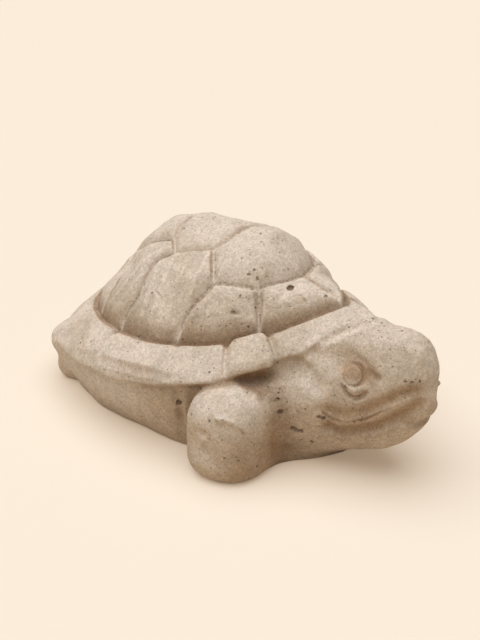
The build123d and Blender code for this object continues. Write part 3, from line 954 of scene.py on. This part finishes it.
# Noises: size in millimetres, octaves, roughness and shift
noises = {
    "large": (30, 3, 0.5, 0.0), "patch": (9, 4, 0.6, 3.0), "grain": (1.1, 3, 0.75, 5.0),
    "sand": (2.6, 3, 0.7, 8.0), "crowd": (16, 2, 0.5, 11.0), "cluster": (5, 2, 0.5, 15.0),
}
# Darkest and lightest shade that a noise gives the stone, and its height in the bump
shades = {"patch": (0.92, 1.06), "sand": (0.91, 1.07), "grain": (0.76, 1.15)}
bump_heights = {"grain": 0.5, "sand": 0.8, "patch": 0.9}
# Bubble holes: size of their cells, share of the cells that have one, and largest radius
fine_pores, wide_pores = (1.7, 0.50, 0.52), (5.0, 0.45, 0.95)
pore_depth, pore_shade, pit_shade = 0.9, 0.75, 0.6
bump_strength, specular = 0.75, 0.25


def pores(nodes, spot, crowd, size, share, radius):
    """Round bubble holes in some of the cells of a pattern, more where it is crowded."""
    cells = nodes.add("TexVoronoi", {"Vector": spot, "Scale": 1 / size}, feature="F1").outputs
    parts = nodes.add("SeparateColor", {"Color": cells["Color"]}).outputs
    chosen = nodes.math("LESS_THAN", parts["Red"], nodes.times(crowd, share))
    reach = nodes.times(nodes.span(parts["Green"], 0, 1, 0.35, 1.0), radius / size)
    depth = nodes.math("SUBTRACT", 1.0, nodes.math("DIVIDE", cells["Distance"], reach), clamp=True)
    return nodes.times(chosen, nodes.span(depth, 0, 0.45))


def concrete():
    """Cast concrete from the noises and the values at the vertices."""
    material = bpy.data.materials.new("cast_concrete")
    material.use_nodes = True
    nodes = Nodes(material.node_tree)
    metres = {0: nodes.add("TexCoord").outputs["Object"], "Scale": 1 / millimetre}
    spot = nodes.add("VectorMath", metres, operation="SCALE").outputs[0]
    noise = {name: nodes.noise(spot, *values) for name, values in noises.items()}
    value = {name: nodes.value(name) for name in vertex_values}
    # Share of the painted shade that is kept: less along the pale lines.
    shade_kept = nodes.span(value["pale"], 0, 1, 1.0, 0.15)

    # Faces turned away from up lean to the browner, darker stone: partly painted warm shade, partly
    # dust and bleaching on the upper faces.
    tilt = nodes.times(nodes.math("SUBTRACT", value["facing_up"], 0.6), 0.3)
    browner = nodes.span(nodes.math("SUBTRACT", noise["large"], tilt), 0.35, 0.65)
    colour = nodes.mix(browner, grey_stone, brown_stone)
    for name, (dark, light) in shades.items():
        shade = nodes.span(noise[name], 0.3, 0.7, dark, light)
        colour = nodes.mix(1.0, colour, shade, "MULTIPLY")
    # Faces turned sideways and down get darker and browner: painted shade, with some brown stain.
    below_shade_and_stain = nodes.times(nodes.span(value["facing_up"], -0.2, 0.55, 1.0, 0.0), shade_kept)
    colour = nodes.mix(below_shade_and_stain, colour, low_shade_and_stain, "MULTIPLY")
    # Painted shade along the eye socket, the mouth's folds, the foot of the foreleg and the groove
    # between foreleg and neck.
    colour = nodes.mix(value["line_shade"], colour, line_shade_colour, "MULTIPLY")
    # Chisel marks: painted shade in their furrows and painted light on their ridges.
    chisel_shading = nodes.span(value["chisel"], -0.8, 0.8, 0.87, 1.08)
    colour = nodes.mix(1.0, colour, chisel_shading, "MULTIPLY")
    # Darker in creases, hollows and the ring groove: painted shade.
    bent = nodes.most(nodes.span(value["hollow"], 0.2, 0.9), nodes.span(value["crease"], 0.12, 0.5))
    crease_shading = nodes.most(nodes.times(bent, shade_kept), value["groove"])
    crease_shading = nodes.times(crease_shading, nodes.span(noise["patch"], 0.3, 0.6, 0.55, 0.9))
    colour = nodes.mix(crease_shading, colour, crease_shade, "MULTIPLY")
    dusty = nodes.times(value["seam"], nodes.span(noise["sand"], 0.35, 0.6, 0.2, 0.75))
    colour = nodes.mix(dusty, colour, dust)

    creased = nodes.times(nodes.span(value["crease"], 0.1, 0.5), 0.8)
    crowd = nodes.math("ADD", nodes.span(noise["crowd"], 0.38, 0.66, 0.15, 1.0), creased)
    cluster = nodes.span(noise["cluster"], 0.4, 0.62, 0.3, 1.4)
    pored = nodes.most(pores(nodes, spot, nodes.times(crowd, cluster), *fine_pores),
                       pores(nodes, spot, crowd, *wide_pores))
    # Bubble holes and pits get a dark colour: painted shade inside the holes.
    darkest = nodes.most(nodes.times(pored, pore_shade), nodes.times(value["pit"], pit_shade))
    colour = nodes.mix(darkest, colour, pore_dark)
    height = nodes.times(pored, -pore_depth)
    for name, share in bump_heights.items():
        height = nodes.math("ADD", height, nodes.times(noise[name], share))
    inputs = {"Strength": bump_strength, "Distance": millimetre, "Height": height}
    nodes.feed(material.node_tree.nodes["Principled BSDF"], {
        "Base Color": colour, "Normal": nodes.add("Bump", inputs).outputs[0],
        "Roughness": nodes.span(noise["sand"], 0.3, 0.7, 0.82, 0.97),
        "Specular IOR Level": specular})
    return material


stone = concrete()
joint_depth = 3.0


def open_loops(quads):
    """Chains of vertices along edges that only one quad has."""
    starts, ends = quads.ravel(), np.roll(quads, -1, 1).ravel()
    count = int(quads.max()) + 1
    codes, uses = np.unique(starts * count + ends, return_counts=True)
    turned = codes % count * count + codes // count
    at = np.minimum(np.searchsorted(codes, turned), len(codes) - 1)
    uses = np.maximum(uses - np.where(codes[at] == turned, uses[at], 0), 0)
    following = {}
    for code in np.repeat(codes, uses).tolist():
        following.setdefault(code // count, []).append(code % count)
    loops = []
    while following:
        loop = [next(iter(following))]
        while len(loop) < 2 or loop[-1] != loop[0]:
            here = loop[-1]
            loop.append(following[here].pop())
            if not following[here]:
                del following[here]
        loops.append(loop[:-1])
    return loops


def cap_centre(ring_points):
    """Centre for a fan of faces over an inner ring, where the fan stays inside best."""
    middle = ring_points.mean(0)
    deep = np.array([0.0, np.clip(middle[1], -125, 80), 35.0])
    best, lowest = middle, np.inf
    spokes = ring_points[::3]
    for share in np.linspace(0, 1, 6):
        centre = middle + (deep - middle) * share
        worst = max(field(*(spokes + (centre - spokes) * t).T).max() for t in (0.15, 0.4, 0.7, 1))
        if worst < lowest - 0.3:
            best, lowest = centre, worst
    return best


def add(name, data):
    thing = bpy.data.objects.new(name, data)
    bpy.context.scene.collection.objects.link(thing)
    return thing


def section_piece(name):
    """Closed mesh of one section: its outer surface, joint walls and inner faces."""
    quads = surface_quads[quad_names == name]
    if not len(quads):
        raise ValueError(f"no surface for {name}")
    used, local = np.unique(quads, return_inverse=True)
    local = local.reshape(-1, 4)
    points, faces = surface_points[used].tolist(), local.tolist()
    for loop in open_loops(local):
        outer = surface_points[used][loop]
        inner = outer - surface_normals[used][loop] * joint_depth
        first = len(points)
        points += inner.tolist() + [cap_centre(inner).tolist()]
        for k, a in enumerate(loop):
            following = (k + 1) % len(loop)
            b = loop[following]
            faces.append([b, a, first + k, first + following])
            faces.append([first + following, first + k, first + len(loop)])
    mesh = bpy.data.meshes.new(name + "_cast")
    mesh.from_pydata((np.array(points) * millimetre).tolist(), [], faces)
    mesh.polygons.foreach_set("use_smooth", np.ones(len(faces), bool))
    flat = np.zeros(len(faces) * 3)
    mesh.polygons.foreach_get("normal", flat)
    sizes = [len(face) for face in faces[len(quads):]]
    normals = np.vstack([surface_normals[used][local].reshape(-1, 3),
                         np.repeat(flat.reshape(-1, 3)[len(quads):], sizes, 0)])
    mesh.normals_split_custom_set(normals.tolist())
    for key, values in vertex_values.items():
        layer = mesh.attributes.new(key, "FLOAT", "POINT")
        filled = np.zeros(len(points), np.float32)
        filled[:len(used)] = values[used]
        layer.data.foreach_set("value", filled)
    mesh.materials.append(stone)
    piece = add(name + "_cast", mesh)
    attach(piece, "root")
    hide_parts(name)


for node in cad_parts:
    section_piece(node)

# Floor, lamp and camera
camera_azimuth, camera_elevation, camera_distance = -45.57, 25.62, 865.0
camera_target, sensor_width, photo_height, focal_pixels = (9.59, -10.87, 45.0), 36.0, 640, 1500.0


def direction(azimuth, elevation):
    """Way from the middle to a place seen at these angles, azimuth 0 in front of the head."""
    turn, tilt = math.radians(azimuth), math.radians(elevation)
    return Vector((math.sin(turn) * math.cos(tilt), -math.cos(turn) * math.cos(tilt),
                   math.sin(tilt)))


def aim(thing, target):
    way = Vector(target) * millimetre - thing.location
    thing.rotation_euler = way.to_track_quat("-Z", "Y").to_euler()


camera_data = bpy.data.cameras.new("camera")
camera_data.sensor_width = sensor_width
camera_data.lens = focal_pixels * sensor_width / photo_height
camera = add("camera", camera_data)
back = direction(camera_azimuth, camera_elevation) * camera_distance
camera.location = (Vector(camera_target) + back) * millimetre
aim(camera, camera_target)
bpy.context.scene.camera = camera


# The floor's colour in full light, the paper's own, and a faint glow that warms the shadows
floor_colour, floor_glow, floor_half = (0.97, 0.86, 0.735, 1), 0.27, 6.0
paper_colour, glow_colour = (0.97, 0.912, 0.822, 1), (0.97, 0.72, 0.50, 1)
paper = bpy.data.materials.new("floor")
paper.use_nodes = True
nodes = Nodes(paper.node_tree)
matt = nodes.feed(paper.node_tree.nodes["Principled BSDF"], {
    "Base Color": paper_colour, "Roughness": 1.0, "Specular IOR Level": 0.0})
glow = nodes.add("Emission", {"Color": glow_colour, "Strength": 1.0})
seen = nodes.times(nodes.add("LightPath").outputs["Is Camera Ray"], floor_glow)
both = nodes.add("MixShader", {0: seen, 1: matt.outputs[0], 2: glow.outputs[0]})
nodes.feed(paper.node_tree.nodes["Material Output"], {0: both.outputs[0]})
floor_mesh = bpy.data.meshes.new("floor")
ends = [(-1, -1, 0), (1, -1, 0), (1, 1, 0), (-1, 1, 0)]
floor_mesh.from_pydata([Vector(end) * floor_half for end in ends], [], [(0, 1, 2, 3)])
floor_mesh.materials.append(paper)
floor = add("floor", floor_mesh)

# The world gives even light, and shows the floor's colour where the camera sees past it
world_light, world_tint = 0.20, (1.0, 0.93, 0.84, 1)
world = bpy.data.worlds.new("studio")
world.use_nodes = True
sky = Nodes(world.node_tree)
path = sky.add("LightPath").outputs
seen = sky.most(path["Is Camera Ray"],
                sky.most(path["Is Glossy Ray"], path["Is Transmission Ray"]))
lit = sky.add("Background", {"Color": world_tint, "Strength": world_light})
shown = sky.add("Background", {"Color": floor_colour, "Strength": 1.0})
both = sky.add("MixShader", {0: seen, 1: lit.outputs[0], 2: shown.outputs[0]})
sky.feed(world.node_tree.nodes["World Output"], {"Surface": both.outputs[0]})
bpy.context.scene.world = world

# One broad soft lamp high above, a little to the turtle's right and behind
lamp_azimuth, lamp_elevation, lamp_spread, lamp_light = -120.0, 82.0, 80.0, 0.80
lamp_data = bpy.data.lights.new("softbox", "SUN")
lamp_data.angle = math.radians(lamp_spread)
lamp_data.energy = lamp_light * math.pi / math.sin(math.radians(lamp_elevation))
lamp_data.color = (1.0, 0.99, 0.97)
lamp = add("softbox", lamp_data)
lamp.location = direction(lamp_azimuth, lamp_elevation)
aim(lamp, (0, 0, 0))

bpy.context.scene.view_settings.view_transform = "Standard"
